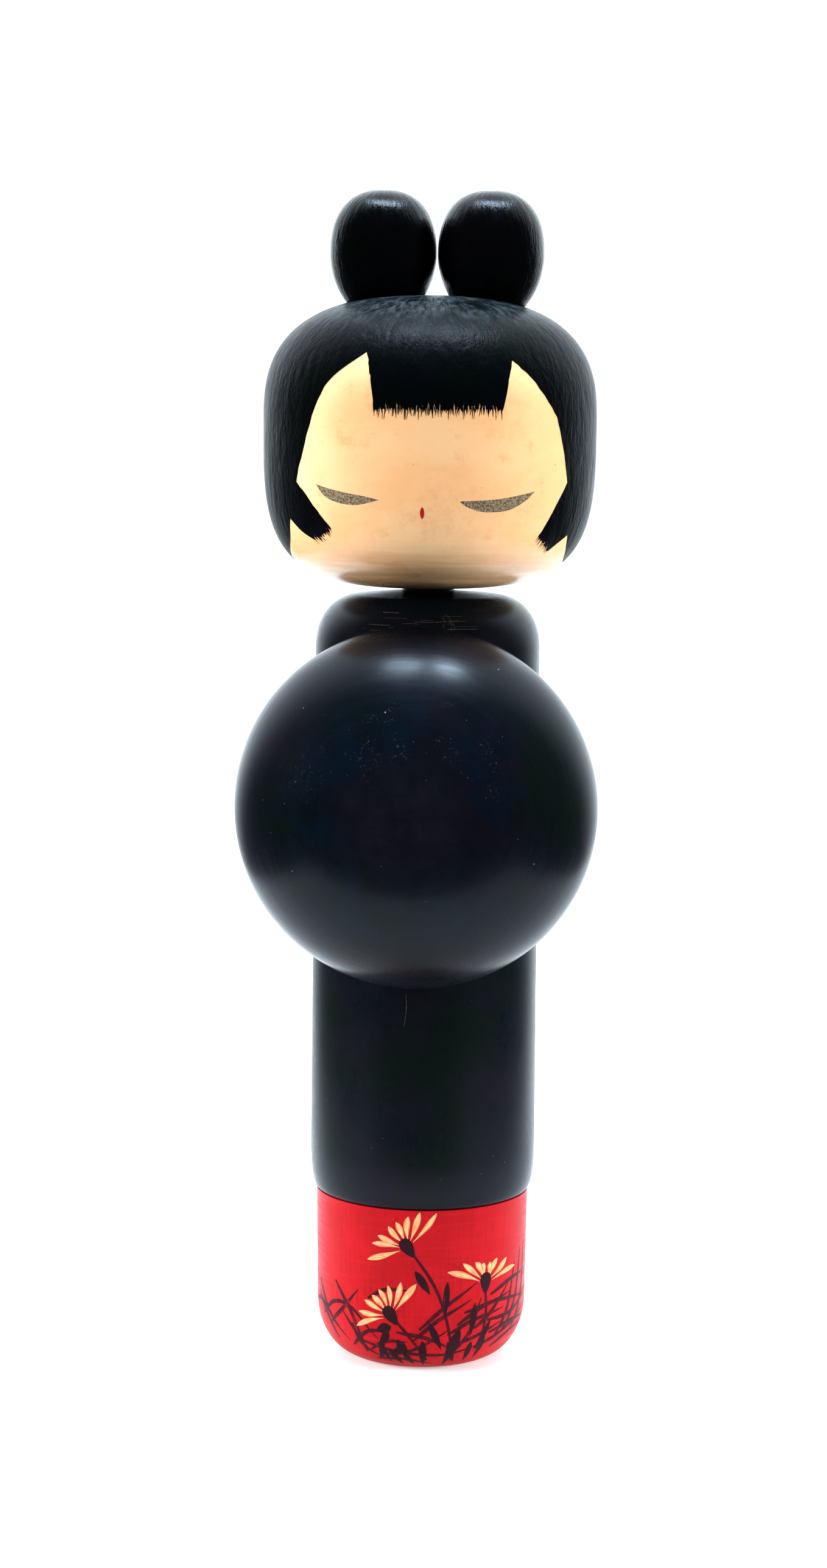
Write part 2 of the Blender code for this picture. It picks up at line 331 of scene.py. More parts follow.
def ribbons(name, chart, strokes, material, body, slot, lift=PAINT, across=4):
    """Brush strokes as one layer. A stroke is a line of (way round, height) places, half its width in
    millimetres at each of them, and a number that sets its bristle marks apart."""
    flats, faces, brushes = [], [], []
    row = across + 1
    over = np.linspace(-1.0, 1.0, row)
    for line, half, seed in strokes:
        line = chart.flat(np.asarray(line, float))
        along = np.gradient(line, axis=0)
        along /= np.linalg.norm(along, axis=1)[:, None]
        side = np.column_stack((-along[:, 1], along[:, 0]))
        reach = (np.asarray(half) * MM)[:, None] * over
        way = np.r_[0.0, np.cumsum(np.linalg.norm(np.diff(line, axis=0), axis=1))]
        first = sum(len(flat) for flat in flats)
        flats.append((line[:, None] + side[:, None] * reach[:, :, None]).reshape(-1, 2))
        brushes.append(np.column_stack((np.repeat(way / way[-1], row), np.tile(over, len(line)),
                                        np.full(len(line) * row, seed))))
        corners = [first + i * row + k for i in range(len(line) - 1) for k in range(across)]
        faces += [(c, c + 1, c + row + 1, c + row) for c in corners]
    return layer(name, chart, np.vstack(flats), faces, material, body, slot, lift, np.vstack(brushes))


# ---------- materials

def scaled(colour, share):
    return tuple(share * channel for channel in colour)


class Nodes:
    """Short calls for the nodes of a material or a world."""

    def __init__(self, tree):
        self.tree = tree

    def set(self, node, inputs):
        for key, value in inputs.items():
            if isinstance(value, bpy.types.NodeSocket):
                self.tree.links.new(value, node.inputs[key])
            else:
                node.inputs[key].default_value = value

    def node(self, kind, inputs, **settings):
        node = self.tree.nodes.new("ShaderNode" + kind)
        for key, value in settings.items():
            setattr(node, key, value)
        self.set(node, inputs)
        return node

    def split(self, vector):
        """The X, Y and Z of a vector."""
        return self.node("SeparateXYZ", {"Vector": vector}).outputs[:3]

    def joined(self, x, y, z=0.0):
        return self.node("CombineXYZ", {"X": x, "Y": y, "Z": z}).outputs[0]

    def texture(self, vector, detail=3.0, rough=0.6):
        """Noise that varies once or so in every unit of the vector."""
        inputs = {"Vector": vector, "Scale": 1.0, "Detail": detail, "Roughness": rough}
        return self.node("TexNoise", inputs).outputs[0]

    def ramp(self, value, low, high, out_low=0.0, out_high=1.0):
        """A smooth step of value between low and high."""
        inputs = {"Value": value, "From Min": low, "From Max": high, "To Min": out_low, "To Max": out_high}
        return self.node("MapRange", inputs, interpolation_type="SMOOTHSTEP").outputs[0]

    def math(self, operation, a, b=0.0):
        return self.node("Math", {0: a, 1: b}, operation=operation).outputs[0]

    def times(self, a, b):
        return self.math("MULTIPLY", a, b)

    def plus(self, a, b):
        return self.math("ADD", a, b)

    def minus(self, a, b):
        return self.math("SUBTRACT", a, b)

    def larger(self, a, b):
        return self.math("MAXIMUM", a, b)

    def mix(self, factor, a, b):
        """The colour that is factor of the way from a to b."""
        a, b = (x if isinstance(x, bpy.types.NodeSocket) else (*x, 1.0) for x in (a, b))
        return self.node("Mix", {0: factor, 6: a, 7: b}, data_type="RGBA").outputs[2]

    def tint(self, colour, towards, value, low, high, share=1.0):
        """A colour drawn up to a share of the way towards another one as value goes from low to high."""
        return self.mix(self.ramp(value, low, high, 0.0, share), colour, towards)


class Look(Nodes):
    """A material around one Principled shader, with patterns in object coordinates."""

    def __init__(self, name, colour, roughness, **sockets):
        self.material = bpy.data.materials.new(name)
        self.material.use_nodes = True
        super().__init__(self.material.node_tree)
        self.shader = self.tree.nodes["Principled BSDF"]
        self.finish(Base_Color=(*colour, 1.0), Roughness=roughness, **sockets)
        self.where = self.node("TexCoord", {}).outputs["Object"]

    def stretched(self, scale, offset=NOWHERE):
        """Object coordinates scaled along each axis, in cycles per metre."""
        return self.node("Mapping", {"Vector": self.where, "Scale": scale, "Location": offset}).outputs[0]

    def noise(self, scale, detail=3.0, rough=0.5, offset=NOWHERE):
        scale = scale if isinstance(scale, tuple) else (scale,) * 3
        return self.texture(self.stretched(scale, offset), detail, rough)

    def specks(self, spacing, size, share, offset=NOWHERE, stretch=(1.0, 1.0, 1.0)):
        """A mask of small dots: about one in every cell of the given spacing, and only a share of them."""
        scale = tuple(s / spacing for s in stretch)
        cells = self.node("TexVoronoi", {"Vector": self.stretched(scale, offset), "Scale": 1.0})
        near = self.ramp(cells.outputs["Distance"], 0.5 * size / spacing, size / spacing, 1.0, 0.0)
        chosen = self.node("SeparateColor", {"Color": cells.outputs["Color"]}).outputs[0]
        return self.times(near, self.math("LESS_THAN", chosen, share))

    def brush(self):
        """A place in a brush stroke: 0 to 1 along it, -1 to 1 across it, and the stroke's number."""
        return self.node("Attribute", {}, attribute_name="brush").outputs["Vector"]

    def streaks(self, across, along):
        """Bristle marks that run along a brush stroke."""
        scale = (along, across, 1.0)
        return self.texture(self.node("Mapping", {"Vector": self.brush(), "Scale": scale}).outputs[0])

    def distance(self, a, b):
        """How long a vector with these two parts is."""
        return self.math("SQRT", self.plus(self.times(a, a), self.times(b, b)))

    def near(self, place, close, far):
        """A mask that is full at a place and fades out between two distances from it."""
        away = self.node("VectorMath", {0: self.where, 1: place}, operation="DISTANCE").outputs["Value"]
        return self.ramp(away, close, far, 1.0, 0.0)

    def rings(self, radius, scale):
        """Marks in rings, from a distance to their axis."""
        wander = self.times(self.noise(25.0, detail=2.0), 3.0)
        return self.texture(self.joined(self.times(radius, scale), wander), rough=0.7)

    def meridians(self, centre, cycles, along):
        """Marks that run down a turned piece from its top, cycles of them in a radian."""
        x, y, z = self.split(self.where)
        x, y = self.minus(x, centre[0]), self.minus(y, centre[1])
        radius = self.larger(self.distance(x, y), ON_AXIS)
        fan = self.math("DIVIDE", cycles, radius)
        down = self.times(self.minus(z, radius), along)
        return self.texture(self.joined(self.times(x, fan), self.times(y, fan), down), 4.0, 0.66)

    def bump(self, *layers):
        """Layers of (height 0 to 1, depth in metres), one over another."""
        normal = None
        for height, depth in layers:
            inputs = {"Height": height, "Strength": 1.0, "Distance": depth}
            if normal:
                inputs["Normal"] = normal
            normal = self.node("Bump", inputs).outputs[0]
        self.finish(Normal=normal)

    def finish(self, **sockets):
        """Sets or links the shader's sockets. An underscore stands for a space in a socket's name."""
        self.set(self.shader, {key.replace("_", " "): value for key, value in sockets.items()})
        return self.material


def lacquer(name, roughness, marks, depth, dust, tone=1.0, gloss=0.5, wear_and_sheen=None):
    """Black lacquer over turned wood. marks draws the brush marks, which stand depth high. The last argument
    changes the colour of one piece: how it is worn, and on the head also a painted sheen."""
    look = Look(name, BLACK_BLUE, roughness, IOR=LACQUER_IOR, Specular_IOR_Level=gloss)
    blue, violet, green = (scaled(black, tone) for black in (BLACK_BLUE, BLACK_VIOLET, BLACK_GREEN))
    cloud = look.noise(42, 4, 0.6)
    colour = look.tint(blue, violet, cloud, 0.38, 0.62)
    colour = look.tint(colour, green, look.noise(34, offset=(3.1, 1.7, 0.4)), 0.48, 0.66)
    brushed = marks(look)
    if wear_and_sheen:
        colour = wear_and_sheen(look, colour)
    dots = look.specks(7.0 * MM, 0.26 * MM, dust)
    small = look.specks(3.1 * MM, 0.14 * MM, dust, offset=(0.7, 0.2, 0.9))
    dirt = look.larger(dots, look.times(small, 0.6))
    colour = look.mix(look.times(dirt, 0.5), colour, DUST)
    worn = look.plus(look.ramp(brushed, 0.3, 0.7, -0.03, 0.03), look.ramp(cloud, 0.3, 0.7, -0.02, 0.03))
    rough = look.plus(look.plus(worn, roughness), look.times(dirt, 0.3))
    look.bump((brushed, depth), (look.noise(2600, 2), 0.002 * MM), (dirt, 0.03 * MM))
    return look.finish(Base_Color=colour, Roughness=rough)


def dome_wear(look, colour):
    """Lathe rings, a paler middle, a bluer ring round it, and scuffs on the upper part of that ring."""
    x, _, z = look.split(look.where)
    up = look.minus(z, centre_of("front_dome")[2])
    radius = look.distance(x, up)
    ragged_radius = look.plus(radius, look.times(look.noise(60), 0.012))
    middle = look.ramp(ragged_radius, 0.013, 0.028, 1.0, 0.0)
    ring = look.times(look.ramp(ragged_radius, 0.016, 0.026),
                      look.ramp(ragged_radius, 0.030, 0.042, 1.0, 0.0))
    uneven = look.noise(95, 5, 0.7, (2, 9, 4))
    colour = look.mix(look.times(middle, look.ramp(uneven, 0.30, 0.70, 0.15, 1.0)), colour, DOME_MIDDLE)
    colour = look.mix(look.times(ring, look.ramp(uneven, 0.42, 0.60, 0.0, 0.75)), colour, DOME_RING)
    colour = look.tint(colour, BLACK_WORN, look.rings(radius, 900.0), 0.50, 0.80, 0.22)
    chalk = look.ramp(look.noise(1500, 4, 0.7), 0.57, 0.70)
    patch = look.ramp(look.noise(150, offset=(7, 1, 5)), 0.46, 0.66)
    scuffs = look.times(look.times(chalk, patch), look.times(ring, look.ramp(up, 0.0, 0.015)))
    return look.mix(look.times(scuffs, 0.6), colour, SCUFF)


def crown_dust_and_sheen(look, colour):
    """Dust on the top of the head, caught between the brush marks, with a painted sheen: it is drawn pale
    blue-grey to stand in for the bright reflection that the crown catches.
    """
    height = look.split(look.where)[2]
    marks = look.meridians((0.0, 0.0), 20.0, 220.0)
    patch = look.noise(110, 4, 0.65, (5, 2, 6))
    held = look.times(look.ramp(marks, 0.34, 0.76), look.ramp(patch, 0.32, 0.62))
    # painted sheen and dust: pale blue-grey mixed in towards the top of the crown, between the brush marks
    dust_and_sheen = look.times(held, look.ramp(height, *CROWN_SHEEN_RISE))
    return look.mix(look.times(dust_and_sheen, 0.5), colour, CROWN_DUST_AND_SHEEN)


def scattered(scale):
    """Brush marks without a direction of their own, in cycles per metre along each axis."""
    return lambda look: look.noise(scale, 4, 0.62)


def combed(centre, cycles, along):
    """Brush marks that run down a piece from its top at the centre."""
    return lambda look: look.meridians(centre, cycles, along)


def face_wood():
    """Pale varnished wood: warm patches, faint turning lines, small dark specks, painted shade under the chin,
    and a painted light that makes the face paler and yellower on the doll's right.
    """
    look = Look("face_wood", (0.93, 0.58, 0.28), 0.32, IOR=1.36)
    x, _, z = look.split(look.where)
    patches = look.noise((38, 38, 60), 4, 0.55)
    colour = look.tint((0.94, 0.505, 0.228), (0.95, 0.57, 0.285), patches, 0.36, 0.66)
    # Painted light: the face is drawn paler and yellower on the doll's right temple, as if lit from that side.
    lit_side = look.times(look.ramp(x, -0.034, -0.014, 1.0, 0.0), look.ramp(z, 0.215, 0.226))
    colour = look.mix(lit_side, colour, (0.955, 0.70, 0.37))
    blush = look.noise(70, 5, 0.65, (2, 5, 1))
    colour = look.tint(colour, (0.86, 0.40, 0.18), blush, 0.56, 0.78, 0.40)
    lines = look.noise((30, 30, 1500), 3, 0.6)
    colour = look.tint(colour, (0.74, 0.40, 0.19), lines, 0.52, 0.80, 0.16)
    # Painted shade: the underside of the chin is drawn dark brown, streaked along the grain, where the dark
    # trunk below shades it.
    chin = look.ramp(z, *CHIN_SHADE_RISE, 1.0, 0.0)
    streaks = look.noise((45, 45, 900), 4, 0.65, (1, 2, 3))
    chin_shade = look.times(chin, look.ramp(streaks, 0.30, 0.62, 0.35, 1.0))
    colour = look.mix(look.times(chin_shade, 0.75), colour, (0.30, 0.175, 0.09))
    smudge = look.noise(150, 6, 0.72, (6, 3, 8))
    colour = look.tint(colour, (0.78, 0.33, 0.13), smudge, 0.54, 0.70, 0.55)
    grime = look.noise(260, 6, 0.75, (1, 7, 3))
    spots = look.larger(look.near(MOUTH_CORNER, 0.003, 0.016), look.near(BROW, 0.002, 0.012))
    spots = look.times(spots, look.ramp(grime, 0.42, 0.66, 0.0, 0.35))
    colour = look.mix(spots, colour, (0.70, 0.30, 0.13))
    small = look.specks(3.4 * MM, 0.17 * MM, 0.26, offset=(0.3, 0.8, 0.1))
    specks = look.larger(look.specks(6.5 * MM, 0.30 * MM, 0.26), small)
    colour = look.mix(look.times(specks, 0.7), colour, (0.25, 0.11, 0.05))
    look.bump((lines, 0.004 * MM), (look.noise(1800, 2), 0.002 * MM))
    return look.finish(Base_Color=colour, Roughness=look.ramp(patches, 0.3, 0.7, 0.22, 0.36))


def red_stain_colour(look):
    """Red stain that sinks unevenly into the grain, with dark flecks."""
    cloud = look.noise(80, 4, 0.6)
    colour = look.tint((0.34, 0.0016, 0.0045), (0.42, 0.0030, 0.0072), cloud, 0.35, 0.70)
    upright = look.noise((1500, 1500, 90), 3, 0.6)
    colour = look.tint(colour, (0.20, 0.0010, 0.004), upright, 0.45, 0.75, 0.45)
    across = look.noise((70, 70, 1300), 3, 0.6, (4, 1, 2))
    colour = look.tint(colour, (0.52, 0.015, 0.020), across, 0.48, 0.78, 0.35)
    flecks = look.specks(2.6 * MM, 0.20 * MM, 0.30, stretch=(1.0, 1.0, 0.35))
    colour = look.mix(look.times(flecks, 0.55), colour, (0.12, 0.002, 0.004))
    return colour, upright, across


def red_stain():
    look = Look("red_stain", (0.50, 0.004, 0.010), 0.42, IOR=1.25, Specular_IOR_Level=0.25)
    colour, upright, across = red_stain_colour(look)
    look.bump((upright, 0.010 * MM), (across, 0.008 * MM))
    return look.finish(Base_Color=colour, Roughness=look.ramp(across, 0.3, 0.7, 0.36, 0.50))


def ink(name, cover, wet=(0.016, 0.0015, 0.004)):
    """Dark brush ink on the red stain. Bristles leave it in streaks; where cover is low, it runs dry."""
    look = Look(name, wet, 0.45, IOR=1.25, Specular_IOR_Level=0.25)
    red, upright, across = red_stain_colour(look)
    streak = look.streaks(across=2.5, along=3.0)
    dry = look.noise((900, 900, 500), 4, 0.7, (1, 4, 2))
    bare = look.plus(look.times(streak, 0.5), look.times(dry, 0.5))
    held = look.ramp(bare, 0.40 + 0.16 * cover, 0.52 + 0.20 * cover, 1.0, 0.30 * cover)
    look.bump((bare, 0.010 * MM), (upright, 0.006 * MM))
    return look.finish(Base_Color=look.mix(held, red, wet), Roughness=look.ramp(across, 0.3, 0.7, 0.38, 0.50))


def petal_paint():
    """Thick cream paint, redder at the sides and in streaks, where the brush left it thin."""
    look = Look("petal_paint", (0.88, 0.55, 0.25), 0.5, IOR=1.3)
    body = look.noise(500, 4, 0.6)
    colour = look.tint((0.84, 0.43, 0.185), (0.76, 0.31, 0.12), body, 0.35, 0.7)
    streak = look.streaks(across=2.6, along=1.4)
    colour = look.tint(colour, (0.50, 0.10, 0.035), streak, 0.48, 0.60, 0.85)
    side = look.math("ABSOLUTE", look.split(look.brush())[1])
    colour = look.tint(colour, (0.48, 0.08, 0.03), side, 0.55, 1.0, 0.75)
    look.bump((streak, 0.02 * MM))
    return look.finish(Base_Color=colour)


def eye_paint():
    """Grey-brown ink dabbed on with a nearly dry brush, so the wood shows through in fine dots."""
    look = Look("eye_paint", (0.22, 0.17, 0.11), 0.5, IOR=1.3)
    dabs = look.noise(2300, 3, 0.7)
    colour = look.tint((0.075, 0.056, 0.036), (0.34, 0.255, 0.155), dabs, 0.38, 0.62)
    return look.finish(Base_Color=colour, Roughness=look.ramp(dabs, 0.3, 0.7, 0.40, 0.60))


def lip_paint(name, colour):
    look = Look(name, colour, 0.35, IOR=1.3)
    body = look.noise(1500, 2)
    return look.finish(Base_Color=look.mix(body, colour, scaled(colour, 0.7)))


def scratch_mark(name, colour):
    """A fine scuff in the lacquer, broken along its length."""
    look = Look(name, colour, 0.6, IOR=LACQUER_IOR)
    broken = look.streaks(across=1.0, along=14.0)
    return look.finish(Base_Color=look.tint(scaled(colour, 0.12), colour, broken, 0.42, 0.60))


def raw_wood():
    look = Look("raw_wood", (0.70, 0.52, 0.33), 0.65)
    grain = look.noise((700, 700, 40), 4)
    look.bump((grain, 0.02 * MM))
    return look.finish(Base_Color=look.mix(grain, (0.74, 0.56, 0.36), (0.60, 0.42, 0.25)))


# ---------- the turned pieces

def radius_of(node):
    low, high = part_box(node)
    return (high.x - low.x) / 2


def centre_of(node):
    return [(low + high) / 2 for low, high in zip(*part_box(node))]


def egg(middle, width, bottom, top, powers):
    """An outline from its top to its bottom, with one power above its middle and another below."""
    upper = quarter(0.0, middle, width, top - middle, powers[0], to_pole=False)
    return np.vstack((upper, quarter(0.0, middle, width, bottom - middle, powers[1], to_pole=True)[1:]))


def head_surface():
    low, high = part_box("head")
    bore, bore_top = radius_of("neck_dowel") + GAP, low.z + BORE_DEPTH
    outline = egg(HEAD_MIDDLE, radius_of("head") - HAIR, low.z, high.z, HEAD_POWERS)
    outline = outline[(outline[:, 1] > HEAD_MIDDLE) | (outline[:, 0] > bore)]
    bored = [(bore, outline[-1, 1]), (bore, bore_top), (0.0, bore_top)]
    return Turned(np.vstack((outline, bored)), turn=HEAD_TURN)


def trunk_surface():
    low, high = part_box("trunk")
    width = radius_of("trunk")
    socket = radius_of("neck_dowel") + GAP
    level = high.z - (TRUNK_TOP_RADIUS - socket) * TOP_SLOPE
    shoulder_low, hem_high = level - SHOULDER[1], low.z + HEM[1]
    shoulder = quarter(TRUNK_TOP_RADIUS - SHOULDER[0], shoulder_low, *SHOULDER, EDGE_POWER, to_pole=False)
    top = np.vstack((straight((socket, level), shoulder[0]), shoulder))
    top[:, 1] += (TRUNK_TOP_RADIUS - top[:, 0]) * TOP_SLOPE
    hem = quarter(width - HEM[0], hem_high, HEM[0], -HEM[1], EDGE_POWER, to_pole=True)
    floor = high.z - SOCKET_DEPTH
    return Turned(np.vstack(([(0.0, floor), (socket, floor)], top, straight(top[-1], hem[0])[1:], hem,
                             straight(hem[-1], (0.0, low.z))[1:], [(0.0, low.z)])))


def foot_surface():
    inset, rise = FOOT_EDGE
    edge = quarter(FOOT_LOW_RADIUS - inset, rise, inset, -rise, 2.0, to_pole=True)
    top = (FOOT_TOP_RADIUS, FOOT_TOP)
    return Turned(np.vstack((straight((0.0, FOOT_TOP), top), straight(top, edge[0]), edge,
                             straight(edge[-1], (0.0, 0.0))[1:], [(0.0, 0.0)])))


def dome_surface():
    low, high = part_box("front_dome")
    width, depth = radius_of("front_dome"), high.y - low.y
    crown = quarter(0.0, DOME_EDGE, width, depth - DOME_EDGE, 2.0, to_pole=False)
    edge = quarter(width - DOME_EDGE, DOME_EDGE, DOME_EDGE, -DOME_EDGE, 2.0, True, DOME_EDGE_STEPS)[1:]
    back = straight(edge[-1], (0.0, 0.0))[1:]
    facing = Matrix.Rotation(math.pi / 2, 4, "X")
    placing = Matrix.Translation((0.0, high.y, centre_of("front_dome")[2])) @ facing
    return Turned(np.vstack((crown, edge, back, [(0.0, 0.0)])), placing)


def neck_surface():
    low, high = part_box("neck_dowel")
    width = radius_of("neck_dowel")
    corners = ((0.0, high.z), (width, high.z), (width, low.z), (0.0, low.z))
    return Turned(np.vstack([straight(a, b) for a, b in zip(corners, corners[1:])] + [corners[-1:]]))


def bun_surface(node):
    outline = egg(BUN_MIDDLE, radius_of(node), BUN_BOTTOM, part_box(node)[1].z, BUN_POWERS)
    return Turned(outline, Matrix.Translation((*centre_of(node)[:2], 0.0)))


def seat_on_crown(bun, crown):
    """Presses the foot of a bun up to the crown of the head, just clear of the hair."""
    radius, height = crown.outline[:OUTLINE_STEPS + 1].T
    for corner in bun.data.vertices:
        seat = np.interp(math.hypot(corner.co.x, corner.co.y), radius, height) + 1.5 * HAIR
        corner.co.z = max(corner.co.z, seat)


# ---------- hair and face, in (degrees, millimetres)

def ragged(start, end, count, length, wander, seed):
    """The bristly end of a brush stroke from start to end: points that stick out to the left of that way."""
    rng = random.Random(seed)
    start, end = np.array(start, float), np.array(end, float)
    along = end - start
    scale = np.array([DEGREE, 1.0])
    side = np.array([-along[1], along[0] * scale[0]])
    side = side / np.linalg.norm(side) / scale
    points = []
    for i in range(count):
        middle, half = (i + 0.5) / count, 0.5 / count
        shift = wander * rng.uniform(-1, 1)
        reach = length * rng.uniform(0.25, 1.0) ** 1.5
        lean = rng.uniform(-0.4, 0.4) * half
        points.append(start + along * (middle - half * rng.uniform(0.75, 0.95)) + side * shift)
        points.append(start + along * (middle + lean) + side * (reach + shift))
    return [tuple(p) for p in points] + [tuple(end)]


def unsteady(points, wander, seed):
    """A hand-painted edge along a curve: it strays by about wander millimetres, but keeps its ends."""
    line = curve(points)
    rng = random.Random(seed)
    way = np.linspace(0.0, 1.0, len(line))
    stray = sum(np.sin(2 * math.pi * (turns * way + rng.random())) * rng.uniform(0.4, 1.0) / turns ** 0.5
                for turns in (1.3, 2.9, 5.3, 9.1))
    offset = wander / 2 * stray * np.minimum(1.0, 8 * np.minimum(way, 1 - way))
    return line + np.column_stack((offset / DEGREE, offset * 0.6))


RIGHT_PEAK, LEFT_PEAK = (-20.9, 259.2), (32.4, 257.5)
BANG_RIGHT, BANG_LEFT = (-16.5, 245.4), (27.3, 245.4)
RIGHT_CHEEK, LEFT_CHEEK = (-48.9, 227.4), (57.0, 227.8)
RIGHT_TIP = ((-43.6, 213.1), (-34.0, 216.0))
LEFT_TIP = ((45.6, 214.4), (54.3, 210.7))
RIGHT_SIDE, LEFT_SIDE = (-55.4, 218.1), (63.7, 214.6)
MOUTH = (0.3, 220.6)
MOUTH_CORNERS = 24


def hair_outline():
    """Once round the hair's edge: the bangs, the doll's left side, the nape, and its right side."""
    bangs_down = unsteady([RIGHT_PEAK, (-18.0, 253.5), BANG_RIGHT], 0.35, seed=1)
    bangs = ragged(BANG_RIGHT, BANG_LEFT, 46, 1.9, 0.25, seed=4)
    bangs_up = unsteady([BANG_LEFT, (29.9, 252.2), LEFT_PEAK], 0.25, seed=2)
    face_left = [LEFT_PEAK, (36.0, 255.5), (42.5, 251.0), (48.3, 245.5), (52.0, 240.3), LEFT_CHEEK]
    lock_left = [LEFT_CHEEK, (51.0, 221.3), LEFT_TIP[0]]
    tip_left = ragged(*LEFT_TIP, 11, 1.3, 0.2, seed=9)
    lock_left_back = curve([LEFT_TIP[1], (58.6, 212.7), LEFT_SIDE])
    nape = [(80.0, 207.4), (110.0, 205.6), (145.0, 205.0), (180.0, 204.9)]
    nape_left = curve([LEFT_SIDE, (68.5, 211.0), *nape])
    nape_right = curve([*((-degrees, height) for degrees, height in nape[::-1]), (-62.5, 212.0), RIGHT_SIDE])
    lock_right_back = curve([RIGHT_SIDE, (-49.5, 215.0), RIGHT_TIP[0]])
    tip_right = ragged(*RIGHT_TIP, 11, 1.3, 0.2, seed=5)
    lock_right = [RIGHT_TIP[1], (-41.0, 221.9), RIGHT_CHEEK]
    face_right = [RIGHT_CHEEK, (-46.2, 233.0), (-42.4, 240.6), (-37.6, 248.2), (-32.0, 253.5), RIGHT_PEAK]
    return np.vstack([bangs_down[:-1], bangs, bangs_up[1:-1], unsteady(face_left, 0.4, seed=3)[:-1],
                      unsteady(lock_left, 0.25, seed=7)[:-1], tip_left, lock_left_back[1:], nape_left[1:],
                      nape_right[1:], lock_right_back[1:-1], tip_right,
                      unsteady(lock_right, 0.25, seed=8)[1:-1], unsteady(face_right, 0.45, seed=6)[:-1]])


def bristles(start, end, heading, count, longest, seed):
    """Fine bristle marks that start along a line and run out along the heading."""
    rng = random.Random(seed)
    start, end, heading = (np.array(p, float) for p in (start, end, heading))
    heading = heading / math.hypot(heading[0] * DEGREE, heading[1])
    strokes = []
    for i in range(count):
        root = start + (end - start) * (i + rng.uniform(0.1, 0.9)) / count
        reach = longest * rng.uniform(0.15, 1.0) ** 1.4
        bend = np.array([rng.uniform(-0.5, 0.5), 0.0])
        way = np.linspace(0.0, 1.0, 5)[:, None]
        line = root - heading * 0.8 + heading * (0.8 + reach) * way + bend * way ** 2
        half = rng.uniform(0.10, 0.22) * (1.0 - way[:, 0] ** 2 * 0.85)
        strokes.append((line, half, i))
    return strokes


def crescent(outer, inner, lower, upper):
    """A closed eye: a curve along its lower edge from tip to tip, and one back along its upper edge."""
    under = curve([outer, *lower, inner])
    over = curve([inner, *upper, outer])
    return np.vstack((under[:-1], over[:-1]))


def lens(middle, wide, tall):
    """A mouth: an oval that is pointed at both sides."""
    angle = np.linspace(0.0, 2 * math.pi, MOUTH_CORNERS, endpoint=False)
    return np.column_stack((middle[0] + wide / 2 * np.sin(angle) * np.abs(np.sin(angle)) ** 0.3,
                            middle[1] + tall / 2 * np.cos(angle)))


def paint_head(crown, looks):
    chart = PolarChart(crown)
    painted("hair", chart, hair_outline(), looks["hair"], "head", "black_lacquer", 1.3 * MM, HAIR)
    fringe = bristles(BANG_RIGHT, BANG_LEFT, (0.0, -1.0), 84, 2.5, seed=12)
    fringe += bristles(*RIGHT_TIP, (6.5, -5.0), 26, 2.0, seed=13)
    fringe += bristles(*LEFT_TIP, (-3.5, -5.5), 24, 1.9, seed=14)
    ribbons("hair_bristles", chart, fringe, looks["bristle"], "head", "black_lacquer", 0.8 * PAINT, across=1)
    eyes = {
        "eye_left": crescent((40.8, 225.8), (12.9, 223.5),
                             [(36.8, 223.4), (30.5, 221.3), (22.0, 220.9), (16.0, 222.0)],
                             [(19.0, 223.7), (26.0, 224.0), (33.5, 224.8)]),
        "eye_right": crescent((-39.0, 227.0), (-14.4, 223.6),
                              [(-35.3, 224.2), (-30.0, 222.7), (-22.5, 222.3)],
                              [(-19.5, 224.4), (-26.0, 225.1), (-33.0, 226.0)]),
    }
    for name, eye in eyes.items():
        painted(name, chart, eye, looks["eye"], "head", "face_wood", lift=0.6 * PAINT)
    for name, wide, tall, lift in (("mouth_edge", 1.40, 2.80, 0.6), ("mouth", 1.08, 2.35, 1.2)):
        mouth = lens(MOUTH, wide, tall)
        painted(name, chart, mouth, looks[name], "head", "face_wood", 0.4 * MM, lift * PAINT)


# ---------- flowers, in (millimetres, millimetres)

PETALS = 8  # seen of each flower
BLADE_STEPS = 12  # from the root of a petal or leaf to its tip
CALYX_CORNERS = 20

# A leaf is its root, its tip and its width, and a blade of grass is a curve through its points
LEAVES = [
    ((-9.8, 3), (-7.6, 9.4), 1.5), ((-6.4, 2.4), (-9, 8.6), 1.4), ((-3, 2), (-6.6, 6.6), 1.9),
    ((0.4, 2), (-2.6, 6.2), 1.7), ((12.6, 2.4), (9.6, 9), 1.6), ((19.2, 3), (20.8, 9.6), 1.7),
    ((4.8, 21.8), (0.8, 28), 2.1), ((8.7, 15.8), (9.3, 25), 1.7), ((8.1, 6.8), (4.5, 14.4), 1.9),
    ((3.2, 1.6), (2.9, 9.4), 2.2), ((9.4, 1.6), (12.8, 12.6), 3.1), ((16, 2.6), (16.6, 8.4), 1.9),
    ((16, 10), (17.2, 18.8), 1.9), ((18, 5.4), (22.2, 13.6), 1.7), ((-9.6, 11.6), (-5.4, 13), 2.8),
    ((-1.2, 4.4), (-3.8, 9.6), 2.6), ((-5.6, 5.6), (-2.2, 7.2), 2.1), ((-8.6, 8.4), (-6, 11.2), 2),
]
